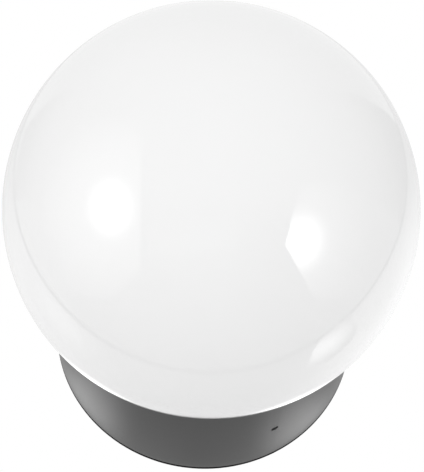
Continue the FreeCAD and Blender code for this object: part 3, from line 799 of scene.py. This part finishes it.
def makeHousing():
    c = housingCast
    piece = link("housing_cast", turnedMesh("housing_cast", housingProfile(), c["steps"]))
    middle = (c["radius"] + c["bore"]) / 2
    collarMiddle = (c["collarRadius"] + c["collarBore"]) / 2
    webMiddle = (webLow + webHigh) / 2
    ribDrop = webHigh + c["ribHeight"] - webMiddle
    half = c["ribWidth"] / 2
    screwHeight = webLow - c["screwBelowWeb"]
    added = []
    for i in range(c["ribs"]):
        rib = boxMesh("rib", (collarMiddle, -ribDrop, -half), (middle, 0, half))
        added.append(spun("rib", rib, 360 / c["ribs"] * i, webMiddle))
    for angle in c["screwAngles"]:
        boss = rodMesh("boss", c["bossRadius"], c["bossInner"], middle, c["holeSteps"])
        added.append(spun("boss", boss, angle, screwHeight))
    combine(piece, added, "UNION")
    over = c["holeOverrun"]
    holes = []
    for angle in c["screwAngles"]:
        hole = rodMesh("hole", c["holeRadius"], c["bossInner"] - over, c["radius"] + over, c["holeSteps"])
        holes.append(spun("hole", hole, angle, screwHeight))
    combine(piece, holes, "DIFFERENCE")
    shadeByAngle(piece, c["crease"])
    settle(piece, "housing", "graphite_coating", "housing")


makeHousing()

# Wall gasket: a soft black ring with a rounded outer lip

wallGasket = {
    "inner": 74.5 * mm,
    "outer": 77.5 * mm,
    "thickness": 2 * mm,
    "lip": 0.15 * mm,
    "lipSteps": 6,
    "steps": 256,
    "crease": 50,
}


def makeWallGasket():
    g = wallGasket
    lip = g["lip"]
    side = g["outer"] - lip
    profile = [(g["inner"], 0)]
    profile += arcPoints((side, lip), lip, -90, 0, g["lipSteps"])
    profile += arcPoints((side, g["thickness"] - lip), lip, 0, 90, g["lipSteps"])
    profile += [(g["inner"], g["thickness"])]
    piece = link("gasket_ring", turnedMesh("gasket_ring", profile, g["steps"]))
    shadeByAngle(piece, g["crease"])
    settle(piece, "housing", "black_rubber", "wall_gasket")


# Globe seal: a silicone ring whose front follows the ball

globeSeal = {
    "inner": 49.8 * mm,
    "outer": 54.3 * mm,
    "gap": 0.3 * mm,  # to the glass
    "round": 0.6 * mm,
    "roundSteps": 6,
    "arcSteps": 12,
    "steps": 192,
    "crease": 50,
}


def makeGlobeSeal():
    s = globeSeal
    r = s["round"]
    side = s["outer"] - r
    reach = globeGlass["radius"] + s["gap"]
    innerAngle = -math.degrees(math.acos(s["inner"] / reach))
    outerAngle = -math.degrees(math.acos(side / reach))
    front = arcPoints((0, ballHeight), reach, outerAngle, innerAngle, s["arcSteps"])
    profile = [(s["inner"], collarFront)]
    profile += arcPoints((side, collarFront + r), r, -90, 0, s["roundSteps"])
    profile += arcPoints((side, front[0][1] - r), r, 0, 90, s["roundSteps"])[:-1]
    profile += front
    piece = link("seal_ring", turnedMesh("seal_ring", profile, s["steps"]))
    shadeByAngle(piece, s["crease"])
    settle(piece, "globe_seal", "silicone", "globe_seal")


# Cable grommet: soft rubber, with a rounded flange and a tapered nose

cableGrommet = {
    "bore": 3.75 * mm,
    "neckRadius": 6.75 * mm,
    "flangeRadius": 9 * mm,
    "flangeThickness": 2 * mm,
    "noseFoot": 7 * mm,
    "noseTip": 5.5 * mm,
    "neckLength": 1.7 * mm,
    "round": 0.7 * mm,
    "mouthRound": 0.5 * mm,
    "noseAngle": 10,  # where the nose's round leaves its taper
    "roundSteps": 6,
    "mouthSteps": 5,
    "steps": 96,
    "crease": 50,
}


def makeCableGrommet():
    g = cableGrommet
    low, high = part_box("cable_grommet")
    back, tip = heights("cable_grommet")
    flangeBack = back + g["neckLength"]
    flangeFront = flangeBack + g["flangeThickness"]
    r = g["round"]
    m = g["mouthRound"]
    side = g["flangeRadius"] - r
    profile = [(g["bore"], back), (g["neckRadius"], back), (g["neckRadius"], flangeBack)]
    profile += arcPoints((side, flangeBack + r), r, -90, 0, g["roundSteps"])
    profile += arcPoints((side, flangeFront - r), r, 0, 90, g["roundSteps"])
    profile += [(g["noseFoot"], flangeFront)]
    profile += arcPoints((g["noseTip"] - m, tip - m), m, g["noseAngle"], 90, g["mouthSteps"])
    profile += arcPoints((g["bore"] + m, tip - m), m, 90, 180, g["mouthSteps"])
    mesh = turnedMesh("grommet_ring", profile, g["steps"])
    mesh.transform(Matrix.Translation((0, 0, (low.z + high.z) / 2)))
    piece = link("grommet_ring", mesh)
    shadeByAngle(piece, g["crease"])
    settle(piece, "wall_base", "black_rubber", "cable_grommet")


makeWallGasket()
makeGlobeSeal()
makeCableGrommet()
print("housing, gasket, seal and grommet made")

# Lamp: screw cap with its real thread, flared body and frosted dome

lampCap = {
    "radius": 13.1 * mm,
    "wall": 0.4 * mm,
    "threadDepth": 1.05 * mm,
    "threadPitch": 3.629 * mm,
    "threadFade": 2.2 * mm,
    "footRadius": 11 * mm,
    "footHeight": 2.2 * mm,
    "footRing": 1.2 * mm,
    "rowHeight": 0.3 * mm,
    "rim": 3 * mm,
    "steps": 96,
    "crease": 40,
}


def makeLampCap():
    c = lampCap
    wall = c["wall"]
    low, high = heights("lamp_cap")
    shoulder = low + c["footHeight"]
    threadEnd = high - c["rim"]
    rows = int((high - shoulder) / c["rowHeight"])
    outside = []
    inside = []
    for i in range(rows + 1):
        height = shoulder + (high - shoulder) * i / rows
        cut = c["threadDepth"] * threadShare(height, shoulder, threadEnd, c["threadFade"])
        outside.append((c["radius"], height, cut))
        inside.append((c["radius"] - wall, height, cut))
    footInner = c["footRadius"] - c["footRing"]
    foot = [(footInner, low), (c["footRadius"], low)]
    floor = [(c["footRadius"] - wall, low + wall), (footInner, low + wall)]
    profile = foot + outside + inside[::-1] + floor
    piece = link("cap_shell", turnedMesh("cap_shell", profile, c["steps"], c["threadPitch"]))
    shadeByAngle(piece, c["crease"])
    settle(piece, "lamp", "cap_metal", "lamp_cap")


lampDome = {
    "radius": 30 * mm,
    "wall": 1.2 * mm,
    "arcSteps": 60,
    "steps": 160,
    "crease": 50,
}


def makeLampDome():
    d = lampDome
    back, front = heights("lamp_diffuser")
    centre = (0, front - d["radius"])
    drop = back - centre[1]
    innerRadius = d["radius"] - d["wall"]
    outer = math.degrees(math.asin(drop / d["radius"]))
    inner = math.degrees(math.asin(drop / innerRadius))
    profile = arcPoints(centre, d["radius"], outer, 90, d["arcSteps"])
    profile += arcPoints(centre, innerRadius, 90, inner, d["arcSteps"])
    piece = link("lamp_dome", turnedMesh("lamp_dome", profile, d["steps"]))
    shadeByAngle(piece, d["crease"])
    settle(piece, "lamp", "lamp_frost", "lamp_diffuser")


lampFlare = {
    "spigotRadius": 12.55 * mm,
    "spigotBore": 10.8 * mm,
    "spigotLength": 11 * mm,
    "neckRadius": 13.9 * mm,
    "neckLength": 4 * mm,
    "neckRound": 0.5 * mm,
    "middleRadius": 22.96 * mm,
    "rimRadius": 28.03 * mm,
    "rimRound": 0.8 * mm,
    "boardSeatRadius": 24.93 * mm,
    "boardSeatDepth": 2.2 * mm,
    "ledgeRadius": 23.43 * mm,
    "innerMiddleRadius": 19.76 * mm,
    "rimInset": 0.1 * mm,
    "arcSteps": 24,
    "roundSteps": 5,
    "steps": 160,
    "crease": 40,
}


def makeLampFlare():
    f = lampFlare
    foot, rim = heights("lamp_body")
    shoulder = foot + f["spigotLength"]
    neck = shoulder + f["neckLength"]
    middle = (neck + rim) / 2
    seat = rim - f["boardSeatDepth"]
    r = f["neckRound"]
    rimCentre = (f["rimRadius"] - f["rimRound"], rim - f["rimRound"])
    outer = arcThrough(
        (f["neckRadius"], neck), (f["middleRadius"], middle), (f["rimRadius"], rim), f["arcSteps"])
    inner = arcThrough(
        (f["ledgeRadius"], seat), (f["innerMiddleRadius"], middle), (f["spigotBore"], neck), f["arcSteps"])
    profile = [(f["spigotBore"], foot), (f["spigotRadius"], foot), (f["spigotRadius"], shoulder)]
    profile += arcPoints((f["neckRadius"] - r, shoulder + r), r, -90, 0, f["roundSteps"])
    profile += [point for point in outer if point[1] < rimCentre[1]]
    profile += arcPoints(rimCentre, f["rimRound"] - f["rimInset"], 0, 90, f["roundSteps"])[1:-1]
    profile += [(rimCentre[0], rim), (f["boardSeatRadius"], rim), (f["boardSeatRadius"], seat)]
    profile += inner
    piece = link("lamp_flare", turnedMesh("lamp_flare", profile, f["steps"]))
    shadeByAngle(piece, f["crease"])
    settle(piece, "lamp", "lamp_plastic", "lamp_body")


makeLampCap()
makeLampDome()
makeLampFlare()

# Lampholder sleeve: the brass shell that the lamp's thread screws into

threadSleeve = {
    "bore": 13.4 * mm,
    "wall": 0.45 * mm,
    "threadDepth": 0.95 * mm,
    "threadFade": 2.2 * mm,
    "flangeRadius": 9.5 * mm,
    "rowHeight": 0.3 * mm,
    "plainMouth": 2.5 * mm,
    "steps": 96,
    "crease": 40,
}


def makeSleeve():
    s = threadSleeve
    low, high = heights("lampholder_sleeve")
    start = low + s["wall"]
    outer = s["bore"] + s["wall"]
    rows = int((high - start) / s["rowHeight"])
    inside = []
    outside = []
    for i in range(rows + 1):
        height = start + (high - start) * i / rows
        share = threadShare(height, low + s["threadFade"], high - s["plainMouth"], s["threadFade"])
        inside.append((s["bore"], height, s["threadDepth"] * share))
        outside.append((outer, height, s["threadDepth"] * share))
    flange = [(outer, low), (s["flangeRadius"], low), (s["flangeRadius"], start)]
    profile = flange + inside + outside[::-1]
    piece = link("thread_sleeve", turnedMesh("thread_sleeve", profile, s["steps"], lampCap["threadPitch"]))
    shadeByAngle(piece, s["crease"])
    settle(piece, "wall_base", "brass", "lampholder_sleeve")


# Lampholder: a glazed porcelain body with its bore, screw holes and wire holes

holderShape = {
    "baseRadius": 20.5 * mm,
    "mouthRadius": 17.5 * mm,
    "stepHeight": 30 * mm,
    "taperHeight": 5 * mm,
    "round": 1.5 * mm,
    "stepRound": 1.2 * mm,
    "stepBulge": (0.14, 0.1),  # how far in and up its middle lies, in shares of stepRound
    "bore": 14.2 * mm,
    "mouthRound": 0.5 * mm,
    "floor": 12 * mm,
    "pocketRadius": 12.6 * mm,
    "pocketDepth": 4 * mm,
    "screwHole": (2.05 * mm, 9 * mm),  # radius and depth, as of the other holes
    "screwReach": 15.5 * mm,
    "wireHole": (1.6 * mm, 6 * mm),
    "wireReach": 7 * mm,
    "wireUp": 4 * mm,
    "contactHole": (1.55 * mm, 7 * mm),
    "contactReach": 8 * mm,
    "holeOverrun": 1 * mm,
    "holeSteps": 32,
    "roundSteps": 8,
    "stepSteps": 6,
    "mouthSteps": 5,
    "steps": 160,
    "crease": 35,
}


def holderProfile(back, mouth, floor):
    h = holderShape
    r = h["round"]
    m = h["mouthRound"]
    step = back + h["stepHeight"]
    pocket = floor + h["pocketDepth"]
    slant = h["stepRound"]
    bulgeIn, bulgeUp = h["stepBulge"]
    lean = (h["baseRadius"] - h["mouthRadius"]) / h["taperHeight"]
    profile = [(0, back)]
    profile += arcPoints((h["baseRadius"] - r, back + r), r, -90, 0, h["roundSteps"])
    profile += arcThrough(
        (h["baseRadius"], step - slant),
        (h["baseRadius"] - bulgeIn * slant, step + bulgeUp * slant),
        (h["baseRadius"] - lean * slant, step + slant),
        h["stepSteps"],
    )
    profile += [(h["mouthRadius"], step + h["taperHeight"])]
    profile += arcPoints((h["mouthRadius"] - r, mouth - r), r, 0, 90, h["roundSteps"])
    profile += arcPoints((h["bore"] + m, mouth - m), m, 90, 180, h["mouthSteps"])
    profile += [(h["bore"], pocket), (h["pocketRadius"], pocket), (h["pocketRadius"], floor), (0, floor)]
    return profile


# A rod along the lamp's axis, to cut a hole
def holeTool(name, radius, x, z, start, end):
    tool = link(name, rodMesh(name, radius, start, end, holderShape["holeSteps"]))
    tool.matrix_world = Matrix.Translation((x, 0, z)) @ Matrix.Rotation(math.radians(-90), 4, "Z")
    return tool


def makeHolder():
    h = holderShape
    back, mouth = heights("lampholder_body")
    floor = back + h["floor"]
    over = h["holeOverrun"]
    screwRadius, screwDepth = h["screwHole"]
    wireRadius, wireDepth = h["wireHole"]
    contactRadius, contactDepth = h["contactHole"]
    mesh = turnedMesh("holder_porcelain", holderProfile(back, mouth, floor), h["steps"])
    piece = link("holder_porcelain", mesh)
    holes = []
    for side in (-1, 1):
        screwAt = side * h["screwReach"]
        wireAt = side * h["wireReach"]
        contactAt = side * h["contactReach"]
        holes += [
            holeTool("screw_hole", screwRadius, 0, screwAt, back - over, back + screwDepth),
            holeTool("wire_hole", wireRadius, wireAt, h["wireUp"], back - over, back + wireDepth),
            holeTool("contact_hole", contactRadius, contactAt, 0, floor - contactDepth, floor + over),
        ]
    combine(piece, holes, "DIFFERENCE")
    shadeByAngle(piece, h["crease"])
    settle(piece, "wall_base", "porcelain", "lampholder_body")


makeSleeve()
makeHolder()
print("lamp, sleeve and lampholder made")

bpy.context.scene.view_settings.view_transform = "Standard"
